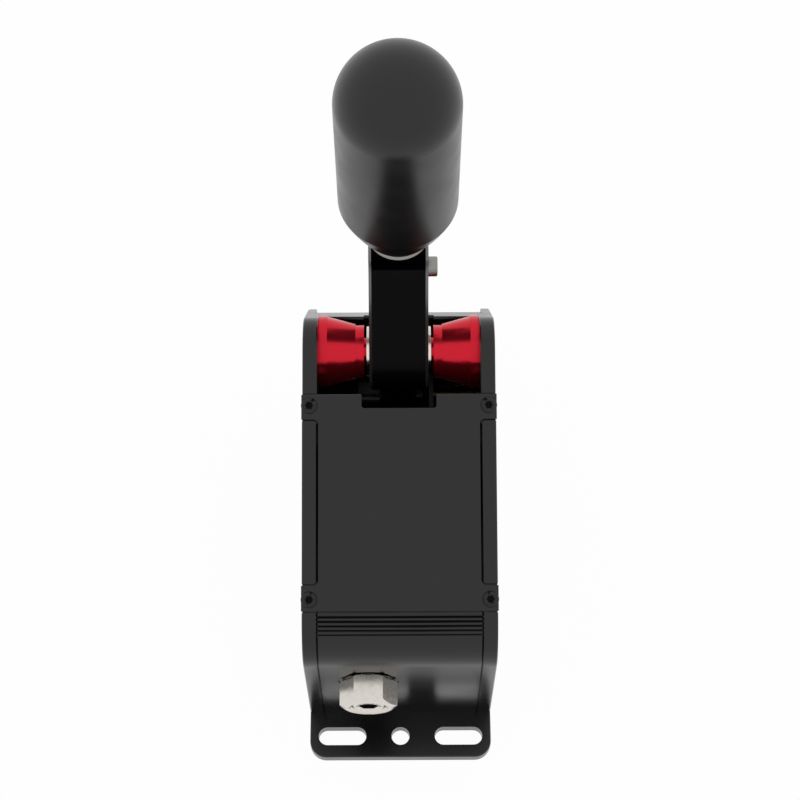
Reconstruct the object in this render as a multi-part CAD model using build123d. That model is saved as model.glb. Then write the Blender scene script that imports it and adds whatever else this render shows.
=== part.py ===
from build123d import *

import os
from dataclasses import dataclass
from math import cos, pi, radians, sin, sqrt, tan

# A sequential gear shifter for a driving rig. Millimetres, +Z up. The origin is the middle of the base
# plate's underside. -Y is the front, where the adjuster is, and the lever leans back towards +Y.

# Driving sizes of the housing
base_thickness = 5.0
plate_thickness = 5.0
plate_gap = 56.0
body_length = 134.0
fit_gap = 0.1
running_gap = 0.05
overrun = 1.0

# Base plate and its flanges
flange_reach = 16.7
flange_corner_radius = 6.0
slot_width = 6.6
slot_length = 17.4
slot_spacing = 42.4
flange_hole_inset = 7.75
flange_edge_break = 0.4

# Outline of the side plates, seen from the side
deck_angle = 17.5
deck_over_pivot = 26.32
nose_radius = 17.5
nose_land = 14.25
rear_angle = 58.0
rear_corner_drop = 15.4
rear_corner_radius = 10.0
crest_radius = 14.0
plate_edge_break = 0.4
inner_edge_break = 0.3

# Cover between the plates, with a tab over each plate at both ends
cover_thickness = 2.5
cover_to_pivot = 24.88
cover_seam = 0.55
cover_relief = 1.5
cover_tab_length = 8.6
cover_tab_overhang = 0.2
cover_inner_radius = 1.8
cover_notch_width = 25.5
cover_notch_depth = 4.8
cover_notch_radius = 1.0
cover_edge_break = 0.3
cover_screw_inset = 3.9

# Nose block and its grooved land
nose_depth = 18.0
nose_ledge = 7.0
groove_count = 5
groove_pitch = 1.56
groove_width = 0.9
groove_depth = 0.45

# Rear block and the bent cover over it
rear_block_depth = 9.0
rear_block_drop = 5.5
rear_cover_thickness = 1.0
rear_cover_recess = 1.25
rear_cover_rebate = 1.8
rear_cover_rise = 18.6
rear_cover_notch_width = 25.0
rear_cover_notch_depth = 4.8
rear_cover_foot_gap = 0.5
screw_clearance = 1.0

# Preload adjuster: a socket set screw in the nose block with a lock nut
adjuster_x = -11.0
adjuster_height = 46.2
adjuster_radius = 6.0
adjuster_length = 35.0
adjuster_socket = 6.0
adjuster_socket_depth = 5.5
adjuster_inset = 0.3
adjuster_end_break = 0.8
nut_across_flats = 17.4
nut_thickness = 10.05
nut_sunk = 0.3
nut_rim_radius = 8.2
nut_bevel_angle = 30.0
nut_bore_break = 0.7
recess_radius = 10.6
cup_flange_radius = 9.5
cup_flange_thickness = 4.0
cup_sleeve_radius = 5.4
cup_sleeve_share = 0.545
cup_bore_in_flange = 1.0

# Springs, push rod and the bracket that guides it
spring_radius = 8.0
spring_wire = 2.1
spring_pitch = 3.62
rod_radius = 4.0
rod_eye_width = 8.0
rod_eye_height = 14.0
collar_radius = 9.5
collar_length = 8.0
collar_screw_radius = 1.5
bracket_thickness = 8.0
bracket_to_pivot = 17.45
bracket_over_rod = 13.8
bracket_window_width = 12.0
bracket_window_height = 26.0
bracket_window_radius = 4.0
bracket_window_x = 13.0
bracket_window_sill = 19.0
bracket_screw_inset = 5.0
bracket_screw_rise = 13.0
bush_radius = 6.5
bush_flange_radius = 9.0
bush_flange_thickness = 2.0
bush_tail = 3.0
link_pin_radius = 3.0
link_pin_end = 2.5
clip_radius = 4.5
clip_thickness = 0.8
clip_inset = 0.7

# Pivot: fixed shaft, cone spacers and flanged ball bearings in the lever's hub
pivot_from_rear = 25.0
pivot_height = 84.0
shaft_radius = 4.0
cone_radius = 12.8
cone_tip_radius = 9.4
cone_rim = 3.0
cone_tip_rim = 3.0
cone_groove = 0.4
cone_boss_radius = 5.0
cone_boss_length = 0.95
bearing_radius = 8.0
bearing_width = 5.0
bearing_flange_radius = 9.0
bearing_flange = 0.95
bearing_inner_radius = 5.4

# Lever
lever_width = 20.6
lever_bar_thickness = 20.0
lever_lean = 46.8
lever_toe = 9.0
lever_toe_radius = 3.0
lever_edge_bevel = 1.0
lever_bend_radius = 7.0
hub_radius = 12.0
head_depth = 22.0
head_rise = 37.5
arm_width = 12.0
arm_thickness = 12.0
arm_tail = 15.0
arm_slot_extra = 0.6
magnet_radius = 3.0
magnet_depth = 2.0
magnet_drop = 10.0
clamp_screw_back = 4.0
clamp_screw_drop = 11.3
clamp_screw_sunk = 0.8

# Knob and what holds it
knob_back = 27.0
knob_radius = 20.0
knob_foot_radius = 10.3
knob_foot_rise = 23.0
knob_foot_bulge = 0.6
knob_height = 98.3
knob_bore_depth = 22.0
knob_collar_radius = 10.8
knob_collar_height = 1.5
stud_radius = 4.0
stud_in_lever = 9.0
stud_in_knob = 20.0

# Rubber stops for the lower arm
stop_radius = 5.0
stop_drop = 6.2
stop_gap = 0.3
lever_swing = 6.0

# Sensor board on the right, and the data socket on its rear edge
board_thickness = 1.6
board_length = 28.0
board_height = 30.0
board_gap_to_arm = 5.0
board_screw_inset = 3.5
sensor_size = 3.0
sensor_thickness = 1.2
sensor_spacing = 8.0
spacer_radius = 2.6
socket_width = 12.0
socket_height = 11.0
socket_length = 14.0
socket_wall = 1.6
socket_tongue = 2.6


@dataclass
class Screw:
    """Sizes of one kind of screw."""

    shank_radius: float
    head_radius: float
    head_height: float
    socket: float
    socket_depth: float


cover_screw = Screw(shank_radius=1.5, head_radius=2.85, head_height=1.65, socket=2.4, socket_depth=1.2)
flat_screw = Screw(shank_radius=2.5, head_radius=5.0, head_height=2.5, socket=3.0, socket_depth=1.5)
small_flat_screw = Screw(shank_radius=2.0, head_radius=4.0, head_height=2.0, socket=2.5, socket_depth=1.2)
cap_screw = Screw(shank_radius=2.0, head_radius=3.5, head_height=4.0, socket=3.0, socket_depth=2.0)
board_screw = Screw(shank_radius=1.25, head_radius=2.25, head_height=1.3, socket=1.5, socket_depth=0.8)

cover_screw_length = 8.0
block_screw_length = 16.0
base_screw_length = 14.0
shaft_screw_length = 14.0
clamp_screw_length = 14.0
board_screw_length = 5.0

# Places that follow from the sizes above
width = plate_gap + 2 * plate_thickness
inner_x = plate_gap / 2
outer_x = width / 2
front_y = -body_length / 2
rear_y = body_length / 2
base_half_length = body_length / 2 + flange_reach
pivot_y = rear_y - pivot_from_rear
knob_y = pivot_y + knob_back
head_top = pivot_height + head_rise
deck_corner_height = pivot_height + deck_over_pivot - (pivot_y - front_y) * tan(radians(deck_angle))
rear_corner_height = pivot_height - rear_corner_drop
rear_block_height = rear_corner_height - rear_block_drop
bracket_height = adjuster_height + bracket_over_rod
block_width = plate_gap - 2 * fit_gap
fastener_x = inner_x + plate_thickness / 2
lever_x = lever_width / 2
rear_cover_depth = rear_cover_recess + rear_cover_thickness

nut_front_y = front_y + nut_sunk - nut_thickness
adjuster_front_y = nut_front_y + adjuster_inset
cup_front_y = adjuster_front_y + adjuster_length
front_spring_y = cup_front_y + cup_flange_thickness
bracket_back_y = pivot_y - bracket_to_pivot
bracket_y = bracket_back_y - bracket_thickness
bush_y = bracket_y - bush_flange_thickness
spring_length = (bush_y - front_spring_y - collar_length) / 2
spring_turns = round(4 * (spring_length - spring_wire) / spring_pitch) / 4
cup_sleeve_length = spring_length * cup_sleeve_share
collar_y = front_spring_y + spring_length
rear_spring_y = collar_y + collar_length
rod_front_y = front_spring_y + cup_sleeve_length / 2

board_x = arm_width / 2 + board_gap_to_arm
rear_block_y = rear_y - rear_cover_depth - rear_block_depth
board_rear_y = rear_block_y - fit_gap
board_y = board_rear_y - board_length / 2
board_z = adjuster_height - magnet_drop
socket_x = board_x + board_thickness + socket_width / 2
socket_low = board_z - socket_height / 2
socket_high = board_z + socket_height / 2


def along(direction, start, radius, length):
    """A cylinder from start along direction."""
    plane = Plane(origin=start, z_dir=direction)
    return plane * Cylinder(radius, length, align=(Align.CENTER, Align.CENTER, Align.MIN))


def box_between(low, high):
    """A box from its low corner to its high corner."""
    size = [b - a for a, b in zip(low, high)]
    middle = [(a + b) / 2 for a, b in zip(low, high)]
    return Pos(*middle) * Box(*size)


def side_profile(points, radii):
    """A face in the YZ plane from (y, z) points, with the corners in radii rounded."""
    face = make_face(Polyline(*[(0, y, z) for y, z in points], close=True))
    for (y, z), radius in radii:
        face = fillet([face.vertices().sort_by_distance((0, y, z))[0]], radius)
    return face


def across(face, x_low, x_high):
    """A YZ face extruded from x_low to x_high."""
    return Pos(x_low, 0, 0) * extrude(face, amount=x_high - x_low, dir=(1, 0, 0))


def deck(along_deck, below=0):
    """(y, z) of a point on the deck line, measured up the slope from the nose corner."""
    angle = radians(deck_angle)
    return (
        front_y + along_deck * cos(angle) + below * sin(angle),
        deck_corner_height + along_deck * sin(angle) - below * cos(angle),
    )


def rear(up_slope, below=0):
    """(y, z) of a point on the rear slope, measured up from the rear corner."""
    angle = radians(rear_angle)
    return (
        rear_y - up_slope * cos(angle) - below * sin(angle),
        rear_corner_height + up_slope * sin(angle) - below * cos(angle),
    )


def meeting(first, first_angle, second, second_angle):
    """Where two lines in the YZ plane meet, each a point and an angle in degrees."""
    a, b = radians(first_angle), radians(second_angle)
    dy, dz = second[0] - first[0], second[1] - first[1]
    reach = (dy * sin(b) - dz * cos(b)) / sin(b - a)
    return first[0] + reach * cos(a), first[1] + reach * sin(a)


def hexagon_prism(direction, start, across_flats, length):
    """A hexagonal prism from start along direction, with two of its corners level."""
    corners_along = (0, 1, 0) if direction[0] else (1, 0, 0)
    plane = Plane(origin=start, x_dir=corners_along, z_dir=direction)
    corner_radius = across_flats / 2 / cos(pi / 6)
    return plane * extrude(RegularPolygon(corner_radius, 6), amount=length)


def flat_head_screw(size, start, direction, length):
    """A countersunk screw whose head is flush at start and whose shank runs along direction."""
    plane = Plane(origin=start, z_dir=direction)
    head = plane * Cone(
        size.head_radius, size.shank_radius, size.head_height, align=(Align.CENTER, Align.CENTER, Align.MIN)
    )
    body = head + along(direction, start, size.shank_radius, length)
    return body - hexagon_prism(direction, start, size.socket, size.socket_depth)


def flat_head_hole(size, start, direction, length):
    """The countersink and bore that a flat head screw sits in."""
    plane = Plane(origin=start, z_dir=direction)
    head = plane * Cone(
        size.head_radius, size.shank_radius, size.head_height, align=(Align.CENTER, Align.CENTER, Align.MIN)
    )
    return head + along(direction, start, size.shank_radius, length)


def button_head_screw(size, seat, direction, length):
    """A button head screw with its head on seat. direction runs into the hole."""
    plane = Plane(origin=seat, z_dir=[-v for v in direction])
    # The dome is the part of a sphere that stands head_height above its seat.
    sphere_radius = (size.head_radius**2 + size.head_height**2) / (2 * size.head_height)
    dome = Pos(0, 0, size.head_height - sphere_radius) * Sphere(sphere_radius)
    disc = Cylinder(size.head_radius, size.head_height, align=(Align.CENTER, Align.CENTER, Align.MIN))
    socket = Pos(0, 0, size.head_height - size.socket_depth) * extrude(
        RegularPolygon(size.socket / 2 / cos(pi / 6), 6), amount=size.head_height
    )
    return plane * (dome & disc) + along(direction, seat, size.shank_radius, length) - plane * socket


def cap_head_screw(size, seat, direction, length):
    """A socket cap screw with its head on seat. direction runs into the hole."""
    outward = [-v for v in direction]
    head = along(outward, seat, size.head_radius, size.head_height)
    top = [s + o * (size.head_height - size.socket_depth) for s, o in zip(seat, outward)]
    socket = hexagon_prism(outward, top, size.socket, size.head_height)
    return head + along(direction, seat, size.shank_radius, length) - socket


def biarc(start, start_dir, end, end_dir):
    """Two tangent arcs from start to end that leave and arrive along the given directions."""
    chord = end - start
    turn = 2 * (1 - start_dir.dot(end_dir))
    side = chord.dot(start_dir + end_dir)
    reach = (sqrt(side * side + turn * chord.dot(chord)) - side) / turn
    middle = (start + end + (start_dir - end_dir) * reach) * 0.5
    middle_dir = (end - start - (start_dir + end_dir) * reach).normalized()
    return [TangentArc(start, middle, tangent=start_dir), TangentArc(middle, end, tangent=middle_dir)]


def coil(y_low, length):
    """An open compression spring round the push rod, as one tube along a helix of biarcs."""
    mean_radius = spring_radius - spring_wire / 2
    steps = round(spring_turns * 4)
    rise = length - spring_wire
    climb = rise / (2 * pi * spring_turns)

    def place(step):
        angle = step * pi / 2
        return Vector(
            adjuster_x + mean_radius * cos(angle),
            y_low + spring_wire / 2 + rise * step / steps,
            adjuster_height + mean_radius * sin(angle),
        )

    def heading(step):
        angle = step * pi / 2
        return Vector(-mean_radius * sin(angle), climb, mean_radius * cos(angle)).normalized()

    arcs = []
    for step in range(steps):
        arcs += biarc(place(step), heading(step), place(step + 1), heading(step + 1))
    quarters = [place(step / 4) for step in range(4 * steps + 1)]
    least = min(
        (a - b).length - spring_wire for i, a in enumerate(quarters) for b in quarters[i + 8:]
    )
    print(f"spring at {y_low:.1f}: least gap between turns {least:.2f} mm")
    path = Wire(arcs)
    section = Plane(origin=place(0), z_dir=heading(0)) * Circle(spring_wire / 2)
    return sweep(section, path)


# Where the cover and its screws lie on the slope, and the corners of the side outline
cover_start = nose_land + cover_seam
cover_end = (pivot_y - cover_to_pivot - front_y) / cos(radians(deck_angle))
cover_length = cover_end - cover_start
deck_down = (0, sin(radians(deck_angle)), -cos(radians(deck_angle)))
cover_screw_stations = [cover_start + cover_screw_inset, cover_end - cover_screw_inset]
crest = meeting(deck(0, cover_thickness), deck_angle, rear(0), 180 - rear_angle)
nose_corner = deck(0)
rear_corner = (rear_y, rear_corner_height)

# Places of the hidden screws: (y, z) on the side plates
nose_screws = [
    (front_y + nose_depth / 2, (low + high) / 2)
    for low, high in ((base_thickness, adjuster_height), (adjuster_height, deck_corner_height))
]
rear_block_middle_y = rear_block_y + rear_block_depth / 2
rear_screws = [
    (rear_block_middle_y, (low + high) / 2)
    for low, high in ((base_thickness, socket_low), (socket_high, rear_block_height))
]
bracket_middle_y = bracket_y + bracket_thickness / 2
bracket_screws_at = [
    (bracket_middle_y, z)
    for z in (base_thickness + bracket_screw_rise, bracket_height - bracket_screw_inset)
]
base_screws_at = [
    (sign * plate_gap / 4, y)
    for sign in (-1, 1)
    for y in (front_y + nose_depth / 2, rear_block_middle_y)
]


def make_base_plate():
    """The plate that carries the housing, with a slotted flange at the front and the rear."""
    plan = RectangleRounded(width, 2 * base_half_length, flange_corner_radius)
    plate = extrude(plan, amount=base_thickness)
    plate = chamfer(plate.faces().sort_by(Axis.Z)[-1].edges(), flange_edge_break)
    for end in (-1, 1):
        y = end * (base_half_length - flange_hole_inset)
        for side in (-1, 1):
            slot = SlotOverall(slot_length, slot_width)
            cut = extrude(slot, amount=base_thickness + 2 * overrun)
            plate -= Pos(side * slot_spacing / 2, y, -overrun) * cut
        plate -= along((0, 0, 1), (0, y, -overrun), slot_width / 2, base_thickness + 2 * overrun)
    for x, y in base_screws_at:
        plate -= flat_head_hole(flat_screw, (x, y, 0), (0, 0, 1), base_thickness + overrun)
    return plate


def make_side_plate(side):
    """One side plate. The cover's tabs lie in pockets of its top edge, which drops behind the cover."""
    outline = [(front_y, base_thickness), nose_corner, deck(cover_end), deck(cover_end, cover_thickness)]
    outline += [crest, rear_corner, (rear_y, base_thickness)]
    rounds = [(nose_corner, nose_radius), (crest, crest_radius), (rear_corner, rear_corner_radius)]
    face = side_profile(outline, rounds)
    inner, outer = side * inner_x, side * outer_x
    plate = across(face, min(inner, outer), max(inner, outer))
    ends = plate.faces().sort_by(Axis.X)
    plate = chamfer(ends[0 if side < 0 else -1].edges(), plate_edge_break)
    inside = plate.faces().sort_by(Axis.X)[-1 if side < 0 else 0]
    plate = chamfer(inside.edges(), inner_edge_break)
    plate -= cover_blank(cover_seam)
    # The bent rear cover lies in a rebate along the rear edge.
    rebate = rear_cover_face(rear_cover_depth + fit_gap, -overrun)
    rebate_x = side * (inner_x + rear_cover_rebate + fit_gap)
    plate -= across(rebate, min(side * (inner_x - overrun), rebate_x), max(side * (inner_x - overrun), rebate_x))
    inward = (-side, 0, 0)
    for y, z in nose_screws + rear_screws:
        plate -= flat_head_hole(flat_screw, (outer, y, z), inward, plate_thickness + overrun)
    for y, z in bracket_screws_at:
        plate -= flat_head_hole(small_flat_screw, (outer, y, z), inward, plate_thickness + overrun)
    plate -= flat_head_hole(flat_screw, (outer, pivot_y, pivot_height), inward, plate_thickness + overrun)
    for station in cover_screw_stations:
        start = (side * fastener_x, *deck(station))
        plate -= along(deck_down, start, cover_screw.shank_radius, cover_screw_length)
    return plate


def rear_cover_face(inner, outer):
    """The bent rear cover's section between two depths below the rear edge."""
    foot = base_thickness + rear_cover_foot_gap
    bend_out = meeting((rear_y - outer, 0), 90, rear(0, outer), 180 - rear_angle)
    bend_in = meeting((rear_y - inner, 0), 90, rear(0, inner), 180 - rear_angle)
    top_in = rear(rear_cover_rise, inner)
    top_out = rear(rear_cover_rise, outer)
    points = [(rear_y - inner, foot), (rear_y - outer, foot), bend_out, top_out, top_in, bend_in]
    rounds = [(bend_out, rear_corner_radius - outer), (bend_in, rear_corner_radius - inner)]
    return side_profile(points, rounds)


def make_nose_block():
    """The front block: a rounded nose, fine grooves across its land and the adjuster's threaded bore."""
    back_y = front_y + nose_depth
    ledge_top = deck(nose_land + nose_ledge, cover_thickness)
    outline = [(front_y, base_thickness), nose_corner, deck(nose_land)]
    outline += [deck(along_deck, cover_thickness + cover_relief) for along_deck in (nose_land, cover_start)]
    outline += [deck(cover_start, cover_thickness), ledge_top]
    outline += [(back_y + ledge_top[0] - deck(nose_land)[0], ledge_top[1] - nose_ledge)]
    outline += [(back_y, ledge_top[1] - 2 * nose_ledge), (back_y, base_thickness)]
    block = across(side_profile(outline, [(nose_corner, nose_radius)]), -block_width / 2, block_width / 2)
    ends = block.faces().sort_by(Axis.X)
    block = chamfer(ends[0].edges() + ends[-1].edges(), inner_edge_break)
    # The V grooves follow each other round the nose from the end of the flat land.
    centre_y, centre_z = deck(nose_radius * tan(radians(90 - deck_angle) / 2), nose_radius)
    half_mouth = groove_width / 2 * (1 + overrun / groove_depth)
    for index in range(groove_count):
        turn = radians(deck_angle) + index * groove_pitch / nose_radius
        corners = [
            (centre_y - reach * sin(turn) + half * cos(turn), centre_z + reach * cos(turn) + half * sin(turn))
            for reach, half in (
                (nose_radius - groove_depth, 0), (nose_radius + overrun, half_mouth),
                (nose_radius + overrun, -half_mouth),
            )
        ]
        block -= across(side_profile(corners, []), -plate_gap / 2, plate_gap / 2)
    mouth = (adjuster_x, front_y - overrun, adjuster_height)
    block -= along((0, 1, 0), mouth, recess_radius, overrun + nut_sunk)
    block -= along((0, 1, 0), mouth, adjuster_radius, nose_depth + 2 * overrun)
    for side in (-1, 1):
        for y, z in nose_screws:
            start = (side * outer_x, y, z)
            block -= along((-side, 0, 0), start, flat_screw.shank_radius, block_screw_length)
    for x, y in base_screws_at:
        block -= along((0, 0, 1), (x, y, 0), flat_screw.shank_radius, base_screw_length)
    return block


def cover_blank(seam=0.0):
    """The cover's sheet without its holes, narrow between the plates and wide at its four tabs.

    With a seam it is that much larger all round, and deeper along its rim, as the room the plates leave.
    """
    middle = cover_length / 2
    half_body = inner_x - cover_seam
    half_tab = outer_x + cover_tab_overhang
    body = Rectangle(2 * half_body, cover_length)
    tabs = [
        Pos(0, sign * (middle - cover_tab_length / 2)) * Rectangle(2 * half_tab, cover_tab_length)
        for sign in (-1, 1)
    ]
    plan = body + tabs
    inner_corners = [
        v for v in plan.vertices() if abs(abs(v.X) - half_body) < fit_gap and abs(v.Y) < middle - fit_gap
    ]
    plan = fillet(inner_corners, cover_inner_radius)
    notch = Pos(0, middle - cover_notch_depth / 2) * Rectangle(cover_notch_width, cover_notch_depth)
    plan -= notch
    notch_corners = [
        v for v in plan.vertices()
        if abs(abs(v.X) - cover_notch_width / 2) < fit_gap and v.Y < middle - fit_gap
    ]
    plan = fillet(notch_corners, cover_notch_radius)
    sheet = extrude(plan, amount=-cover_thickness)
    if seam:
        rim = offset(plan, amount=seam, kind=Kind.INTERSECTION) - plan
        sheet += extrude(rim, amount=-(cover_thickness + cover_relief))
    y, z = deck(cover_start + middle)
    return Pos(0, y, z) * Rot(deck_angle, 0, 0) * sheet


def make_front_cover():
    """The sheet over the deck with its edges broken and its screw holes."""
    sheet = cover_blank()
    sheet = chamfer(sheet.faces().sort_by(Axis.Z)[-1].edges(), cover_edge_break)
    for side in (-1, 1):
        for station in cover_screw_stations:
            start = (side * fastener_x, *deck(station, -overrun))
            sheet -= along(deck_down, start, cover_screw.shank_radius, cover_thickness + 2 * overrun)
    return sheet


def make_cover_screws():
    """Four button head screws through the cover's tabs into the plates' edges."""
    return [
        button_head_screw(cover_screw, (side * fastener_x, *deck(station)), deck_down, cover_screw_length)
        for side in (-1, 1) for station in cover_screw_stations
    ]


def make_side_screws(places, size):
    """Countersunk screws through both side plates at the given (y, z) places."""
    return [
        flat_head_screw(size, (side * outer_x, y, z), (-side, 0, 0), block_screw_length)
        for side in (-1, 1) for y, z in places
    ]


def make_base_screws():
    """Countersunk screws from under the base plate into the two end blocks."""
    return [flat_head_screw(flat_screw, (x, y, 0), (0, 0, 1), base_screw_length) for x, y in base_screws_at]


def make_rear_block():
    """The block inside the rear cover, with a window for the data socket."""
    low = (-block_width / 2, rear_block_y, base_thickness)
    block = box_between(low, (block_width / 2, rear_block_y + rear_block_depth, rear_block_height))
    block -= socket_window()
    for side in (-1, 1):
        for y, z in rear_screws:
            start = (side * outer_x, y, z)
            block -= along((-side, 0, 0), start, flat_screw.shank_radius, block_screw_length)
    for x, y in base_screws_at:
        block -= along((0, 0, 1), (x, y, 0), flat_screw.shank_radius, base_screw_length)
    for x, z in rear_cover_screws_at():
        start = (x, rear_y - rear_cover_recess, z)
        block -= along((0, -1, 0), start, cover_screw.shank_radius, cover_screw_length)
    return block


def socket_window():
    """The window through the rear block and cover that the data socket stands in."""
    half = socket_width / 2 + fit_gap
    low = (socket_x - half, board_rear_y - overrun, socket_low - fit_gap)
    return box_between(low, (socket_x + half, rear_y + overrun, socket_high + fit_gap))


def rear_cover_screws_at():
    """(x, z) of the rear cover's screws, clear of the side screws' ends and of the base screws."""
    x = outer_x - block_screw_length - cover_screw.shank_radius - screw_clearance
    low_z = base_screw_length + cover_screw.head_radius + screw_clearance
    high_z = (socket_high + rear_block_height) / 2
    return [(side * x, z) for side in (-1, 1) for z in (low_z, high_z)]


def make_rear_cover():
    """The bent sheet over the rear block and up the rear slope, with a notch for the lever."""
    half = inner_x + rear_cover_rebate
    sheet = across(rear_cover_face(rear_cover_depth, rear_cover_recess), -half, half)
    notch_low, notch_high = rear_cover_rise - rear_cover_notch_depth, rear_cover_rise + overrun
    notch = [
        rear(notch_low, -overrun), rear(notch_high, -overrun),
        rear(notch_high, rear_cover_depth + overrun), rear(notch_low, rear_cover_depth + overrun),
    ]
    sheet -= across(side_profile(notch, []), -rear_cover_notch_width / 2, rear_cover_notch_width / 2)
    sheet -= socket_window()
    for x, z in rear_cover_screws_at():
        start = (x, rear_y + overrun, z)
        sheet -= along((0, -1, 0), start, cover_screw.shank_radius, rear_cover_depth + 2 * overrun)
    return sheet


def make_rear_cover_screws():
    """Four button head screws that hold the rear cover."""
    return [
        button_head_screw(cover_screw, (x, rear_y - rear_cover_recess, z), (0, -1, 0), cover_screw_length)
        for x, z in rear_cover_screws_at()
    ]


def make_spring_bracket():
    """The cross wall that guides the push rod, with a window on the board's side."""
    low = (-block_width / 2, bracket_y, base_thickness)
    wall = box_between(low, (block_width / 2, bracket_back_y, bracket_height))
    wall -= along((0, 1, 0), (adjuster_x, bracket_y - overrun, adjuster_height), bush_radius,
                  bracket_thickness + 2 * overrun)
    window_z = base_thickness + bracket_window_sill + bracket_window_height / 2
    plane = Plane(origin=(bracket_window_x, bracket_y - overrun, window_z), x_dir=(1, 0, 0), z_dir=(0, 1, 0))
    opening = RectangleRounded(bracket_window_width, bracket_window_height, bracket_window_radius)
    wall -= plane * extrude(opening, amount=bracket_thickness + 2 * overrun)
    for side in (-1, 1):
        for y, z in bracket_screws_at:
            start = (side * outer_x, y, z)
            wall -= along((-side, 0, 0), start, small_flat_screw.shank_radius, block_screw_length)
    return wall


def make_guide_bush():
    """The flanged bush that the push rod slides in. The rear spring seats on its flange."""
    bush = along((0, 1, 0), (adjuster_x, bush_y, adjuster_height), bush_flange_radius, bush_flange_thickness)
    bush += along((0, 1, 0), (adjuster_x, bush_y, adjuster_height), bush_radius,
                  bush_flange_thickness + bracket_thickness + bush_tail)
    bore = (adjuster_x, bush_y - overrun, adjuster_height)
    length = bush_flange_thickness + bracket_thickness + bush_tail + 2 * overrun
    return bush - along((0, 1, 0), bore, rod_radius + running_gap, length)


def make_pivot_shaft():
    """The fixed shaft between the side plates, tapped at both ends."""
    shaft = along((1, 0, 0), (-inner_x, pivot_y, pivot_height), shaft_radius, plate_gap)
    for side in (-1, 1):
        start = (side * outer_x, pivot_y, pivot_height)
        shaft -= along((-side, 0, 0), start, flat_screw.shank_radius, shaft_screw_length)
    return shaft


def make_shaft_end_screws():
    """The two countersunk screws that clamp the shaft between the plates."""
    return [
        flat_head_screw(flat_screw, (side * outer_x, pivot_y, pivot_height), (-side, 0, 0), shaft_screw_length)
        for side in (-1, 1)
    ]


def make_cone_spacer(side):
    """The turned cone that fills the gap between a side plate and the lever's bearing."""
    tip_x = lever_x + bearing_flange
    boss_x = tip_x + cone_boss_length
    points = [
        (inner_x, shaft_radius), (inner_x, cone_radius), (inner_x - cone_rim, cone_radius),
        (inner_x - cone_rim, cone_radius - cone_groove),
        (boss_x + cone_tip_rim, cone_tip_radius + cone_groove), (boss_x + cone_tip_rim, cone_tip_radius),
        (boss_x, cone_tip_radius), (boss_x, cone_boss_radius), (tip_x, cone_boss_radius),
        (tip_x, shaft_radius),
    ]
    face = make_face(Polyline(*[(side * x, r, 0) for x, r in points], close=True))
    return Pos(0, pivot_y, pivot_height) * revolve(face, Axis.X)


def ring(side, x_near, x_far, inner_radius, outer_radius):
    """A ring on the pivot axis between two distances from the middle."""
    low = min(side * x_near, side * x_far)
    tube = along((1, 0, 0), (low, pivot_y, pivot_height), outer_radius, x_far - x_near)
    return tube - along((1, 0, 0), (low - overrun, pivot_y, pivot_height), inner_radius,
                        x_far - x_near + 2 * overrun)


def make_bearing_outer_rings():
    """Outer rings with their flanges and shields. They turn with the lever."""
    rings = []
    for side in (-1, 1):
        outer = ring(side, lever_x + bearing_flange - bearing_width, lever_x + bearing_flange,
                     bearing_inner_radius + running_gap, bearing_radius)
        flange = ring(side, lever_x, lever_x + bearing_flange, bearing_radius - bearing_flange,
                      bearing_flange_radius)
        rings.append(outer + flange)
    return rings


def make_bearing_inner_rings():
    """Inner rings, clamped on the shaft between the cones."""
    return [
        ring(side, lever_x + bearing_flange - bearing_width, lever_x + bearing_flange, shaft_radius,
             bearing_inner_radius)
        for side in (-1, 1)
    ]


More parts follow.
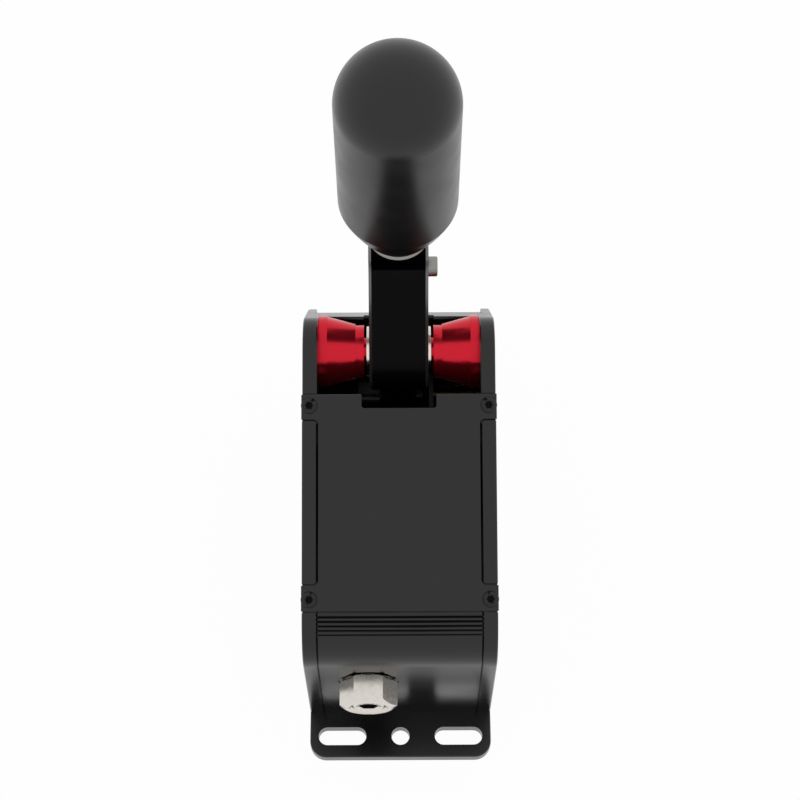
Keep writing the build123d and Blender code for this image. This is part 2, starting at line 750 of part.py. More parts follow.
def make_lever():
    """The lever in one piece: upright head, leaning bar, hub and a narrow lower arm."""
    lean = 90 - lever_lean
    direction = (cos(radians(lean)), sin(radians(lean)))
    normal = (-direction[1], direction[0])
    front_line = (pivot_y + normal[0] * hub_radius, pivot_height + normal[1] * hub_radius)
    toe = (front_line[0] - direction[0] * lever_toe, front_line[1] - direction[1] * lever_toe)
    behind = lever_bar_thickness - hub_radius
    back_line = (pivot_y - normal[0] * behind, pivot_height - normal[1] * behind)
    head_front, head_back = knob_y - head_depth / 2, knob_y + head_depth / 2
    front_bend = meeting(front_line, lean, (head_front, 0), 90)
    back_bend = meeting(back_line, lean, (head_back, 0), 90)
    points = [(toe[0], pivot_height), toe, front_bend, (head_front, head_top), (head_back, head_top)]
    points += [back_bend, back_line, (pivot_y, pivot_height)]
    bends = [(front_bend, lever_bend_radius), (back_bend, lever_bend_radius), (toe, lever_toe_radius)]
    bar = across(side_profile(points, bends), -lever_x, lever_x)
    bar += along((1, 0, 0), (-lever_x, pivot_y, pivot_height), hub_radius, lever_width)
    rims = [edge for face in (bar.faces().sort_by(Axis.X)[0], bar.faces().sort_by(Axis.X)[-1])
            for edge in face.edges()]
    bar = chamfer(rims, lever_edge_bevel)

    arm_low = adjuster_height - arm_tail
    arm = box_between((-arm_width / 2, pivot_y - arm_thickness / 2, arm_low),
                      (arm_width / 2, pivot_y + arm_thickness / 2, pivot_height))
    arm = fillet(arm.edges().filter_by(Axis.X).group_by(Axis.Z)[0], arm_thickness / 3)
    slot_plane = Plane(origin=(-arm_width, pivot_y, adjuster_height), x_dir=(0, 0, 1), z_dir=(1, 0, 0))
    pin_slot_radius = link_pin_radius + running_gap
    slot = SlotOverall(2 * (pin_slot_radius + arm_slot_extra), 2 * pin_slot_radius)
    lever = bar + arm - slot_plane * extrude(slot, amount=2 * arm_width)

    for side in (-1, 1):
        lever -= along((side, 0, 0), (side * (lever_x + bearing_flange - bearing_width), pivot_y, pivot_height),
                       bearing_radius, bearing_width)
    lever -= along((1, 0, 0), (-lever_x, pivot_y, pivot_height), shaft_radius + overrun, lever_width)
    lever -= along((0, 0, -1), (0, knob_y, head_top + overrun), stud_radius, overrun + stud_in_lever)
    lever -= along((-1, 0, 0), (arm_width / 2, pivot_y, adjuster_height - magnet_drop), magnet_radius,
                   magnet_depth)
    seat = clamp_screw_seat()
    lever -= along((1, 0, 0), seat, cap_screw.head_radius + fit_gap, clamp_screw_sunk + overrun)
    lever -= along((-1, 0, 0), seat, cap_screw.shank_radius, clamp_screw_length)
    return lever


def clamp_screw_seat():
    """Where the head clamp screw's head sits, on the right of the lever's head."""
    return (
        lever_x - clamp_screw_sunk,
        knob_y - head_depth / 2 + clamp_screw_back,
        head_top - clamp_screw_drop,
    )


def make_clamp_screw():
    """The socket cap screw in the side of the head that locks the knob's stud."""
    return cap_head_screw(cap_screw, clamp_screw_seat(), (-1, 0, 0), clamp_screw_length)


def make_magnet():
    """The disc magnet that the sensors read, flush in the lower arm's right face."""
    start = (arm_width / 2, pivot_y, adjuster_height - magnet_drop)
    return along((-1, 0, 0), start, magnet_radius, magnet_depth)


def make_knob():
    """The tall round knob: a slightly bulged conical foot, a straight barrel and a domed top."""
    foot_z = head_top + knob_collar_height
    shoulder_z = foot_z + knob_height - knob_radius
    foot_end_z = foot_z + knob_foot_rise
    step = knob_radius - knob_foot_radius
    slant = sqrt(step**2 + knob_foot_rise**2)
    mid_foot = (
        knob_foot_radius + step / 2 + knob_foot_bulge * knob_foot_rise / slant,
        foot_z + knob_foot_rise / 2 - knob_foot_bulge * step / slant,
    )
    mid_dome = (knob_radius * cos(pi / 4), shoulder_z + knob_radius * sin(pi / 4))
    outline = [
        Line((0, foot_z), (knob_foot_radius, foot_z)),
        ThreePointArc((knob_foot_radius, foot_z), mid_foot, (knob_radius, foot_end_z)),
        Line((knob_radius, foot_end_z), (knob_radius, shoulder_z)),
        ThreePointArc((knob_radius, shoulder_z), mid_dome, (0, shoulder_z + knob_radius)),
        Line((0, shoulder_z + knob_radius), (0, foot_z)),
    ]
    face = Plane.XZ * make_face(outline)
    knob = Pos(0, knob_y, 0) * revolve(face, Axis.Z)
    bore = along((0, 0, 1), (0, knob_y, foot_z - overrun), stud_radius, overrun + knob_bore_depth)
    return knob - bore


def make_knob_collar():
    """The bright ring between the lever's head and the knob."""
    collar = along((0, 0, 1), (0, knob_y, head_top), knob_collar_radius, knob_collar_height)
    return collar - along((0, 0, 1), (0, knob_y, head_top - overrun), stud_radius,
                          knob_collar_height + 2 * overrun)


def make_knob_stud():
    """The stud screwed into the lever's head and the knob."""
    length = stud_in_lever + knob_collar_height + stud_in_knob
    return along((0, 0, 1), (0, knob_y, head_top - stud_in_lever), stud_radius, length)


def make_adjuster_screw():
    """The long set screw in the nose block, turned with a hex key to preload the springs."""
    start = (adjuster_x, adjuster_front_y, adjuster_height)
    screw = along((0, 1, 0), start, adjuster_radius - running_gap, adjuster_length)
    screw = chamfer(screw.edges().filter_by(GeomType.CIRCLE).sort_by(Axis.Y)[0], adjuster_end_break)
    return screw - hexagon_prism((0, 1, 0), start, adjuster_socket, adjuster_socket_depth)


def make_adjuster_nut():
    """The lock nut, a hexagon whose corners are bevelled at both ends."""
    start = (adjuster_x, nut_front_y, adjuster_height)
    prism = hexagon_prism((0, 1, 0), start, nut_across_flats, nut_thickness)
    corner_radius = nut_across_flats / 2 / cos(pi / 6)
    drop = (corner_radius - nut_rim_radius) * tan(radians(nut_bevel_angle))
    points = [
        (0, 0), (nut_rim_radius, 0), (corner_radius, drop), (corner_radius, nut_thickness - drop),
        (nut_rim_radius, nut_thickness), (0, nut_thickness),
    ]
    outline = make_face(Polyline(*[(r, y, 0) for r, y in points], close=True))
    barrel = Pos(*start) * revolve(outline, Axis.Y)
    nut = prism & barrel
    nut -= along((0, 1, 0), (adjuster_x, nut_front_y - overrun, adjuster_height), adjuster_radius,
                 nut_thickness + 2 * overrun)
    rim = nut.edges().filter_by(GeomType.CIRCLE).filter_by(lambda edge: edge.radius < nut_rim_radius - overrun)
    return chamfer(rim.sort_by(Axis.Y)[0], nut_bore_break)


def make_spring_cup():
    """The cup on the adjuster's end: a seat for the front spring and a guide for the rod's tip."""
    start = (adjuster_x, cup_front_y, adjuster_height)
    cup = along((0, 1, 0), start, cup_flange_radius, cup_flange_thickness)
    cup += along((0, 1, 0), start, cup_sleeve_radius, cup_flange_thickness + cup_sleeve_length)
    mouth = (adjuster_x, front_spring_y + cup_sleeve_length + overrun, adjuster_height)
    depth = cup_bore_in_flange + cup_sleeve_length + overrun
    return cup - along((0, -1, 0), mouth, rod_radius + running_gap, depth)


def make_push_rod():
    """The rod that the springs centre, with a flat eye beside the lever's arm."""
    eye_front_y = pivot_y - rod_eye_height / 2
    rod = along((0, 1, 0), (adjuster_x, rod_front_y, adjuster_height), rod_radius,
                eye_front_y - rod_front_y + overrun)
    eye = box_between(
        (adjuster_x - rod_eye_width / 2, eye_front_y, adjuster_height - rod_eye_height / 2),
        (adjuster_x + rod_eye_width / 2, pivot_y + rod_eye_height / 2, adjuster_height + rod_eye_height / 2),
    )
    eye = fillet(eye.edges().filter_by(Axis.X), rod_eye_height / 3)
    pin_hole = (adjuster_x - rod_eye_width, pivot_y, adjuster_height)
    return rod + eye - along((1, 0, 0), pin_hole, link_pin_radius, 2 * rod_eye_width)


def make_rod_collar():
    """The collar between the two springs, with its grub screw hole on top."""
    collar = along((0, 1, 0), (adjuster_x, collar_y, adjuster_height), collar_radius, collar_length)
    collar -= along((0, 1, 0), (adjuster_x, collar_y - overrun, adjuster_height), rod_radius,
                    collar_length + 2 * overrun)
    top = (adjuster_x, collar_y + collar_length / 2, adjuster_height)
    return collar - along((0, 0, 1), top, collar_screw_radius, collar_radius + overrun)


def make_collar_screw():
    """The grub screw that sets the collar on the rod."""
    foot = (adjuster_x, collar_y + collar_length / 2, adjuster_height + rod_radius)
    return along((0, 0, 1), foot, collar_screw_radius, collar_radius - rod_radius - collar_screw_radius / 2)


def make_link_pin():
    """The cross pin through the rod's eye and the arm's slot."""
    low_x = adjuster_x - rod_eye_width / 2 - link_pin_end
    high_x = arm_width / 2 + link_pin_end
    return along((1, 0, 0), (low_x, pivot_y, adjuster_height), link_pin_radius, high_x - low_x)


def make_pin_clips():
    """Two clips that keep the cross pin in place."""
    low_x = adjuster_x - rod_eye_width / 2 - clip_inset - clip_thickness
    high_x = arm_width / 2 + clip_inset
    return [
        along((1, 0, 0), (x, pivot_y, adjuster_height), clip_radius, clip_thickness)
        - along((1, 0, 0), (x - overrun, pivot_y, adjuster_height), link_pin_radius,
                clip_thickness + 2 * overrun)
        for x in (low_x, high_x)
    ]


def make_stop(end):
    """One rubber stop for the lower arm, on the bracket (end -1) or on the rear block (end 1)."""
    height = adjuster_height - stop_drop
    reach = pivot_height - height
    swing = radians(lever_swing)
    # The arm's face at full swing, at the stop's height and at its near corner.
    face_y = arm_thickness / 2 / cos(swing) + (reach + stop_radius) * tan(swing)
    face = pivot_y + end * (face_y + stop_gap)
    base = bracket_back_y if end < 0 else rear_block_y
    return along((0, 1, 0), (0, min(face, base), height), stop_radius, abs(base - face))


def make_sensor_board():
    """The upright board beside the lower arm."""
    low = (board_x, board_y - board_length / 2, board_z - board_height / 2)
    high = (board_x + board_thickness, board_y + board_length / 2, board_z + board_height / 2)
    board = box_between(low, high)
    for y, z in board_screws_at():
        board -= along((1, 0, 0), (board_x - overrun, y, z), board_screw.shank_radius,
                       board_thickness + 2 * overrun)
    return board


def board_screws_at():
    """(y, z) of the board's screws and spacers."""
    return [
        (board_y + sy * (board_length / 2 - board_screw_inset),
         board_z + sz * (board_height / 2 - board_screw_inset))
        for sy in (-1, 1) for sz in (-1, 1)
    ]


def make_board_spacers():
    """Spacers from the right side plate to the board."""
    start_x = board_x + board_thickness
    return [
        along((1, 0, 0), (start_x, y, z), spacer_radius, inner_x - start_x)
        - along((1, 0, 0), (start_x, y, z), board_screw.shank_radius, board_screw_length)
        for y, z in board_screws_at()
    ]


def make_board_screws():
    """Small screws that hold the board on its spacers."""
    return [
        along((-1, 0, 0), (board_x, y, z), board_screw.head_radius, board_screw.head_height)
        + along((1, 0, 0), (board_x, y, z), board_screw.shank_radius, board_screw_length)
        for y, z in board_screws_at()
    ]


def make_sensors():
    """Two sensor chips on the board, one for each way that the magnet moves."""
    return [
        box_between(
            (board_x - sensor_thickness, pivot_y + side * sensor_spacing / 2 - sensor_size / 2,
             board_z - sensor_size / 2),
            (board_x, pivot_y + side * sensor_spacing / 2 + sensor_size / 2, board_z + sensor_size / 2),
        )
        for side in (-1, 1)
    ]


def make_data_socket():
    """The square data socket on the board's rear edge, open towards the back."""
    x, z = socket_x, board_z
    half_w, half_h = socket_width / 2, socket_height / 2
    back = rear_y
    shell = box_between((x - half_w, back - socket_length, z - half_h), (x + half_w, back, z + half_h))
    mouth = box_between(
        (x - half_w + socket_wall, back - socket_length + socket_wall, z - half_h + socket_wall),
        (x + half_w - socket_wall, back + overrun, z + half_h - socket_wall),
    )
    tongue = box_between(
        (x - half_w / 2, back - socket_length, z - half_h + socket_wall - fit_gap),
        (x + half_w / 2, back - socket_wall, z - half_h + socket_wall + socket_tongue),
    )
    return shell - mouth + tongue


def build():
    """Every piece by its node name."""
    return {
        "base_plate": make_base_plate(),
        "left_side_plate": make_side_plate(-1),
        "right_side_plate": make_side_plate(1),
        "nose_block": make_nose_block(),
        "front_cover": make_front_cover(),
        "cover_screws": make_cover_screws(),
        "rear_block": make_rear_block(),
        "rear_cover": make_rear_cover(),
        "rear_cover_screws": make_rear_cover_screws(),
        "side_plate_screws": make_side_screws(nose_screws + rear_screws, flat_screw),
        "bracket_screws": make_side_screws(bracket_screws_at, small_flat_screw),
        "base_screws": make_base_screws(),
        "spring_bracket": make_spring_bracket(),
        "guide_bush": make_guide_bush(),
        "pivot_shaft": make_pivot_shaft(),
        "shaft_end_screws": make_shaft_end_screws(),
        "left_cone_spacer": make_cone_spacer(-1),
        "right_cone_spacer": make_cone_spacer(1),
        "bearing_inner_rings": make_bearing_inner_rings(),
        "bearing_outer_rings": make_bearing_outer_rings(),
        "lever": make_lever(),
        "clamp_screw": make_clamp_screw(),
        "sensor_magnet": make_magnet(),
        "knob": make_knob(),
        "knob_collar": make_knob_collar(),
        "knob_stud": make_knob_stud(),
        "adjuster_screw": make_adjuster_screw(),
        "adjuster_nut": make_adjuster_nut(),
        "spring_cup": make_spring_cup(),
        "front_spring": coil(front_spring_y, spring_length),
        "rear_spring": coil(rear_spring_y, spring_length),
        "push_rod": make_push_rod(),
        "rod_collar": make_rod_collar(),
        "collar_screw": make_collar_screw(),
        "link_pin": make_link_pin(),
        "pin_clips": make_pin_clips(),
        "front_stop": make_stop(-1),
        "rear_stop": make_stop(1),
        "sensor_board": make_sensor_board(),
        "board_spacers": make_board_spacers(),
        "board_screws": make_board_screws(),
        "sensor_chips": make_sensors(),
        "data_socket": make_data_socket(),
    }


os.makedirs("parts", exist_ok=True)
for name, shape in build().items():
    solids = shape if isinstance(shape, list) else [shape]
    export_step(Compound(children=[s for shape in solids for s in shape.solids()]), f"parts/{name}.step")
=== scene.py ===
import math

import bpy
import numpy as np
from mathutils import Matrix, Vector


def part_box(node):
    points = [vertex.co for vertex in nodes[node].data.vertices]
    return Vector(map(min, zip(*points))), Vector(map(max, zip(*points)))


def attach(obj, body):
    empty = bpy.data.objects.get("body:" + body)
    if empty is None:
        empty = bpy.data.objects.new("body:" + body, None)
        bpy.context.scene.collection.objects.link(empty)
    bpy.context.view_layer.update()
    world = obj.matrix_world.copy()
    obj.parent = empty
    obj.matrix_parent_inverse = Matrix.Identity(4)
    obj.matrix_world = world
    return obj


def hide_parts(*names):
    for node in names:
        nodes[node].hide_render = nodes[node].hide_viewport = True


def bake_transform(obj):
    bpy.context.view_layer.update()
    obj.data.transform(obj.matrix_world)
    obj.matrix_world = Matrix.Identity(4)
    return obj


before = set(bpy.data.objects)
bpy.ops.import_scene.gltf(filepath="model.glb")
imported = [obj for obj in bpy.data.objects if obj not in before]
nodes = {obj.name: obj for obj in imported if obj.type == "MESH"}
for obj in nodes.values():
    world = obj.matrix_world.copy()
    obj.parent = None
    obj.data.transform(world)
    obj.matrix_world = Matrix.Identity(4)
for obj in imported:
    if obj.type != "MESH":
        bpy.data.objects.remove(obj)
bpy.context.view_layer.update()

mmPerMetre = 1000.0      # sizes below are in millimetres unless they say metres; the scene is in metres
print("stage: frame loaded,", len(nodes), "nodes")


# camera: looks down on the front from high up, as the photograph does
cameraView = {
    "place": (0.00035, -0.2575, 0.7057),   # metres
    "pitch": 65.7,                         # degrees below the horizon
    "roll": -0.25,                         # degrees, top leans left
    "lens": 87.75,                         # millimetres
    "sensor": 36.0,                        # millimetres across
    "clip": (0.01, 20.0),                  # metres
}


def makeCamera(view):
    data = bpy.data.cameras.new("camera")
    data.lens = view["lens"]
    data.sensor_width = view["sensor"]
    data.clip_start, data.clip_end = view["clip"]
    camera = bpy.data.objects.new("camera", data)
    bpy.context.scene.collection.objects.link(camera)
    tilt = Matrix.Rotation(math.radians(90 - view["pitch"]), 4, "X")
    roll = Matrix.Rotation(math.radians(view["roll"]), 4, "Z")
    camera.matrix_world = Matrix.Translation(view["place"]) @ tilt @ roll
    bpy.context.scene.camera = camera


makeCamera(cameraView)
print("stage: camera")


# an sRGB hex string as linear colour with alpha: each channel over 12.92 when small, else the 2.4 power curve
def hexToLinear(text):
    channels = np.array([int(text[i:i + 2], 16) for i in (1, 3, 5)]) / 255.0
    linear = np.where(channels <= 0.04045, channels / 12.92, ((channels + 0.055) / 1.055) ** 2.4)
    return (*linear.tolist(), 1.0)


# adds a node with its settings and links; an input is named by its name or its number
def addNode(tree, kind, settings=None, links=None):
    node = tree.nodes.new(kind)
    for name, value in (settings or {}).items():
        if isinstance(name, int) or name in node.inputs:
            node.inputs[name].default_value = value
        else:
            setattr(node, name, value)
    for name, output in (links or {}).items():
        tree.links.new(output, node.inputs[name])
    return node


def newMaterial(name):
    material = bpy.data.materials.new(name)
    material.use_nodes = True
    material.node_tree.nodes.clear()
    return material, material.node_tree


# families of finish: how the fine grain shows as relief and how the noise moves the gloss
finishFamilies = {
    "anodised": {"grainDetail": 3.0, "relief": 0.35, "glossFrom": (0.35, 0.65)},
    "machined": {"grainDetail": 3.0, "relief": 0.25, "glossFrom": (0.3, 0.7)},
    "moulded": {"grainDetail": 2.0, "relief": 0.3, "glossFrom": (0.35, 0.65)},
}
cloudDetail = 2.0


# a finish from its settings: a noise of grainMm gives the relief; roughness goes from roughness - spread to
# roughness + spread with a slow noise of cloudMm, or with the grain itself where there is no cloudMm;
# a noise's scale is millimetres per metre over the feature's size, as coordinates are in metres
def makeFinish(name, family, s):
    material, tree = newMaterial(name)
    place = addNode(tree, "ShaderNodeTexCoord").outputs["Object"]
    if "stretch" in s:
        place = addNode(tree, "ShaderNodeMapping", {"Scale": s["stretch"]}, {"Vector": place}).outputs[0]
    grain = addNode(
        tree, "ShaderNodeTexNoise", {"Scale": mmPerMetre / s["grainMm"], "Detail": family["grainDetail"]},
        {"Vector": place},
    )
    cloud = grain
    if "cloudMm" in s:
        cloud = addNode(
            tree, "ShaderNodeTexNoise", {"Scale": mmPerMetre / s["cloudMm"], "Detail": cloudDetail},
            {"Vector": place},
        )
    low, high = family["glossFrom"]
    rough = addNode(
        tree, "ShaderNodeMapRange",
        {"From Min": low, "From Max": high,
         "To Min": s["roughness"] - s["roughnessSpread"], "To Max": s["roughness"] + s["roughnessSpread"]},
        {"Value": cloud.outputs[0]},
    )
    bump = addNode(
        tree, "ShaderNodeBump", {"Strength": family["relief"], "Distance": s["grainHeightMm"] / mmPerMetre},
        {"Height": grain.outputs[0]},
    )
    body = {"Metallic": s["metallic"]} if "metallic" in s else {"IOR": s["ior"]}
    shader = addNode(
        tree, "ShaderNodeBsdfPrincipled", {"Base Color": hexToLinear(s["colour"]), **body},
        {"Roughness": rough.outputs[0], "Normal": bump.outputs[0]},
    )
    addNode(tree, "ShaderNodeOutputMaterial", {}, {"Surface": shader.outputs[0]})
    return material


# bead blasted plates and covers: satin, show white surroundings as soft greys
blastedBlack = {
    "colour": "#060607", "ior": 1.46, "roughness": 0.24, "roughnessSpread": 0.03,
    "grainMm": 0.45,         # bead marks are finer, drawn coarse enough to show
    "grainHeightMm": 0.004, "cloudMm": 18.0,
}
# milled and polished lever: deep black, with a weaker reflection than the blasted plates; its index is
# lower than a real coat's, to keep it that dark
polishedBlack = {
    "colour": "#030304", "ior": 1.15, "roughness": 0.2, "roughnessSpread": 0.02,
    "grainMm": 0.6, "grainHeightMm": 0.001, "cloudMm": 12.0,
}
# its chamfers are cut after the blasting and take the dye less: thin grey lines along both sides
leverChamfer = {
    "colour": "#6c6c6f", "metallic": 0.9, "roughness": 0.35,
    "from": 9.34, "to": 10.27, "soft": 0.04,                  # mm from the middle
}


# puts the lever's chamfers into its finish: the share is 1 where the distance from the middle plane lies
# between the chamfer's two edges
def lightenChamfers(material, s):
    tree = material.node_tree
    shader = next(node for node in tree.nodes if node.bl_idname == "ShaderNodeBsdfPrincipled")
    place = addNode(tree, "ShaderNodeTexCoord").outputs["Object"]
    parts = addNode(tree, "ShaderNodeSeparateXYZ", {}, {"Vector": place})
    reach = addNode(tree, "ShaderNodeMath", {"operation": "ABSOLUTE"}, {0: parts.outputs["X"]})
    steps = [
        addNode(
            tree, "ShaderNodeMapRange",
            {"From Min": (s[edge] - s["soft"]) / mmPerMetre, "From Max": (s[edge] + s["soft"]) / mmPerMetre},
            {"Value": reach.outputs[0]},
        ).outputs[0]
        for edge in ("from", "to")
    ]
    share = addNode(tree, "ShaderNodeMath", {"operation": "SUBTRACT"}, {0: steps[0], 1: steps[1]})
    dyed = shader.inputs["Base Color"].default_value[:]
    colour = addNode(
        tree, "ShaderNodeMix", {"data_type": "RGBA", 6: dyed, 7: hexToLinear(s["colour"])},
        {0: share.outputs[0]},
    )
    metallic = addNode(
        tree, "ShaderNodeMath", {"operation": "MULTIPLY", 1: s["metallic"]}, {0: share.outputs[0]},
    )
    plain = shader.inputs["Roughness"].links[0].from_socket
    rough = addNode(tree, "ShaderNodeMix", {3: s["roughness"]}, {0: share.outputs[0], 2: plain})
    tree.links.new(rough.outputs[0], shader.inputs["Roughness"])
    tree.links.new(colour.outputs[2], shader.inputs["Base Color"])
    tree.links.new(metallic.outputs[0], shader.inputs["Metallic"])


# machined metals: fine turning or milling lines, seen as a slight change of gloss

# stainless steel, turned and milled: bright, a little warm
stainless = {
    "colour": "#e6e0d7", "metallic": 1.0, "roughness": 0.2, "roughnessSpread": 0.05,
    "grainMm": 0.35, "grainHeightMm": 0.002, "stretch": (1.0, 0.1, 1.0),
}
# the same steel, tumbled after forging: paler and softer, slightly mottled
tumbledStainless = {
    "colour": "#d8d3cb", "metallic": 1.0, "roughness": 0.24, "roughnessSpread": 0.06,
    "grainMm": 1.6, "grainHeightMm": 0.006, "stretch": (1.0, 1.0, 1.0),
}
# plain turned steel: greyer than stainless, with the fine rings of the lathe
turnedSteel = {
    "colour": "#8d8b88", "metallic": 1.0, "roughness": 0.25, "roughnessSpread": 0.05,
    "grainMm": 0.3, "grainHeightMm": 0.0015, "stretch": (1.0, 1.0, 0.1),
}
# black oxide on alloy steel screws: dark, slightly oily shine
blackOxide = {
    "colour": "#2a2a2b", "metallic": 0.8, "roughness": 0.3, "roughnessSpread": 0.06,
    "grainMm": 0.4, "grainHeightMm": 0.002, "stretch": (1.0, 1.0, 1.0),
}
# oiled black oxide on the button heads: dark, and glossier than the dry oxide
oiledOxide = {
    "colour": "#232324", "metallic": 0.6, "roughness": 0.15, "roughnessSpread": 0.03,
    "grainMm": 0.4, "grainHeightMm": 0.001, "stretch": (1.0, 1.0, 1.0),
}
# red anodised aluminium, turned: clear coloured reflections that pale at the edges
redAnodised = {
    "colour": "#cf1f31", "metallic": 0.85, "roughness": 0.22, "roughnessSpread": 0.02,
    "grainMm": 0.3, "grainHeightMm": 0.0002, "stretch": (1.0, 0.03, 0.03),
}
# sintered bronze and brass: warm, oil soaked
bronze = {
    "colour": "#b08a4e", "metallic": 1.0, "roughness": 0.38, "roughnessSpread": 0.06,
    "grainMm": 0.3, "grainHeightMm": 0.003, "stretch": (1.0, 1.0, 1.0),
}
# nickel plated magnet: mirror bright
nickel = {
    "colour": "#c9c6bf", "metallic": 1.0, "roughness": 0.12, "roughnessSpread": 0.02,
    "grainMm": 0.5, "grainHeightMm": 0.0005, "stretch": (1.0, 1.0, 1.0),
}
# gold plated contacts: warm yellow, soft shine
gold = {
    "colour": "#e0b45a", "metallic": 1.0, "roughness": 0.25, "roughnessSpread": 0.04,
    "grainMm": 0.3, "grainHeightMm": 0.0005, "stretch": (1.0, 1.0, 1.0),
}
# satin black acetal knob: smooth turned polymer with a soft sheen
satinAcetal = {
    "colour": "#161617", "ior": 1.45, "roughness": 0.31, "roughnessSpread": 0.03,
    "grainMm": 0.3, "grainHeightMm": 0.002, "cloudMm": 9.0,
}
# black rubber stop: dull, fine grain
rubber = {
    "colour": "#1a1a1a", "ior": 1.5, "roughness": 0.75, "roughnessSpread": 0.05,
    "grainMm": 0.4, "grainHeightMm": 0.01, "cloudMm": 12.0,
}
# black solder lacquer over copper tracks: smooth and dark
solderLacquer = {
    "colour": "#0c0f0d", "ior": 1.5, "roughness": 0.3, "roughnessSpread": 0.04,
    "grainMm": 0.6, "grainHeightMm": 0.006, "cloudMm": 18.0,
}
# dull black lining of the sockets, takes in nearly all light: painted shade that makes the sockets read as
# deep;
# on the black screws it also stands for their oil and oxide, and on the bare steel ones it is painted shade
# only
socketOxideAndShade = {
    "colour": "#0a0a0a", "ior": 1.3, "roughness": 0.95, "roughnessSpread": 0.03,
    "grainMm": 0.5, "grainHeightMm": 0.03, "cloudMm": 15.0,
}
# black chip resin
chipResin = {
    "colour": "#202021", "ior": 1.5, "roughness": 0.5, "roughnessSpread": 0.05,
    "grainMm": 0.15, "grainHeightMm": 0.003, "cloudMm": 4.5,
}

finishSettings = {
    "blastedBlackAluminium": ("anodised", blastedBlack),
    "polishedBlackAluminium": ("anodised", polishedBlack),
    "stainlessSteel": ("machined", stainless),
    "tumbledStainlessSteel": ("machined", tumbledStainless),
    "turnedSteel": ("machined", turnedSteel),
    "blackOxideSteel": ("machined", blackOxide),
    "oiledOxideSteel": ("machined", oiledOxide),
    "redAnodisedAluminium": ("machined", redAnodised),
    "sinteredBronze": ("machined", bronze),
    "nickelPlate": ("machined", nickel),
    "goldPlate": ("machined", gold),
    "satinBlackAcetal": ("moulded", satinAcetal),
    "blackRubber": ("moulded", rubber),
    # the sockets' lining: painted shade, and on the black screws also their oxide
    "dullSocketOxideAndPaintedShade": ("moulded", socketOxideAndShade),
    "blackSolderLacquer": ("moulded", solderLacquer),
    "blackChipResin": ("moulded", chipResin),
}
materials = {
    name: makeFinish(name, finishFamilies[family], settings)
    for name, (family, settings) in finishSettings.items()
}
lightenChamfers(materials["polishedBlackAluminium"], leverChamfer)

# which finish each construction piece has; the pieces drawn further down bring their own
finishes = {
    "blastedBlackAluminium": [
        "base_plate", "left_side_plate", "right_side_plate", "nose_block", "front_cover", "rear_block",
        "rear_cover", "spring_bracket",
    ],
    "polishedBlackAluminium": ["lever"],
    "stainlessSteel": [
        "pivot_shaft", "bearing_inner_rings", "bearing_outer_rings", "knob_stud", "data_socket",
    ],
    "tumbledStainlessSteel": ["adjuster_nut"],
    "blackOxideSteel": [
        "side_plate_screws", "bracket_screws", "base_screws", "shaft_end_screws", "collar_screw", "spring_cup",
        "push_rod", "rod_collar", "link_pin", "pin_clips", "board_screws",
    ],
    "redAnodisedAluminium": ["left_cone_spacer", "right_cone_spacer"],
    "sinteredBronze": ["guide_bush", "board_spacers"],
    "nickelPlate": ["sensor_magnet"],
    "satinBlackAcetal": ["knob"],
    "blackRubber": ["front_stop", "rear_stop"],
    "blackSolderLacquer": ["sensor_board"],
    "blackChipResin": ["sensor_chips"],
}
for finish, names in finishes.items():
    for name in names:
        slots = nodes[name].data.materials
        slots.clear()
        slots.append(materials[finish])
print("stage: materials on", sum(len(names) for names in finishes.values()), "nodes")


# one mesh of several closed shells, each a grid of points (rows, columns, 3) whose first and last rows are
# poles: neighbours in a row and in the next row make quads, and each pole closes its row with triangles;
# a shell whose volume sums up negative has its columns turned round, so that its faces point outwards;
# the faces of the first inner rows, a socket's floor and walls, take the second material, which there is
# the socket's painted shade
def makeShells(name, grids, finishNames, sharpAngle=35.0, inner=0):
    points, quads, fans, inside, start = [], [], [], [], 0
    for grid in grids:
        rows, columns = grid.shape[:2]
        centre = grid.reshape(-1, 3).mean(axis=0)
        across = np.roll(grid, -1, axis=1) - grid
        onward = np.roll(grid, -1, axis=0) - grid
        volume = np.einsum("ijk,ijk->", (grid - centre)[:-1], np.cross(across, onward)[:-1])
        if volume < 0:
            grid = grid[:, ::-1]
        ring = start + 1 + np.arange((rows - 2) * columns).reshape(rows - 2, columns)
        after = np.roll(ring, -1, axis=1)
        last = start + 1 + (rows - 2) * columns
        quads.append(np.stack([ring[:-1], after[:-1], after[1:], ring[1:]], axis=-1).reshape(-1, 4))
        fans.append(np.stack([np.full(columns, start), after[0], ring[0]], axis=-1))
        fans.append(np.stack([np.full(columns, last), ring[-1], after[-1]], axis=-1))
        inside.append(np.repeat(np.arange(rows - 3) < inner - 1, columns))
        points += [grid[:1, 0], grid[1:-1].reshape(-1, 3), grid[-1:, 0]]
        start = last + 1
    mesh = bpy.data.meshes.new(name)
    faces = [face for block in quads + fans for face in block.tolist()]
    mesh.from_pydata(np.concatenate(points).tolist(), [], faces)
    mesh.shade_smooth()
    mesh.set_sharp_from_angle(angle=math.radians(sharpAngle))
    for finishName in finishNames:
        mesh.materials.append(materials[finishName])
    starts = [np.full(len(fan), inner > 0 and index % 2 == 0) for index, fan in enumerate(fans)]
    mesh.polygons.foreach_set("material_index", np.concatenate(inside + starts).astype(np.int32))
    piece = bpy.data.objects.new(name, mesh)
    bpy.context.scene.collection.objects.link(piece)
    return piece


# a turned shell: each row lies radius away from the axis and along millimetres up it, at the angles of turn;
# radius may differ round a row, for a hexagon, a knurl or a thread
def turnedGrid(radius, along, turn, place, axis):
    axis = np.array(axis, dtype=float)
    sideways = np.array((0.0, 0.0, 1.0) if abs(axis[0]) > 0.5 else (1.0, 0.0, 0.0))
    upright = np.cross(axis, sideways)
    radius, along, turn = np.broadcast_arrays(radius, along, turn)
    offset = (
        radius[..., None] * (np.cos(turn)[..., None] * sideways + np.sin(turn)[..., None] * upright)
        + along[..., None] * axis
    )
    return (np.array(place) + offset) / mmPerMetre
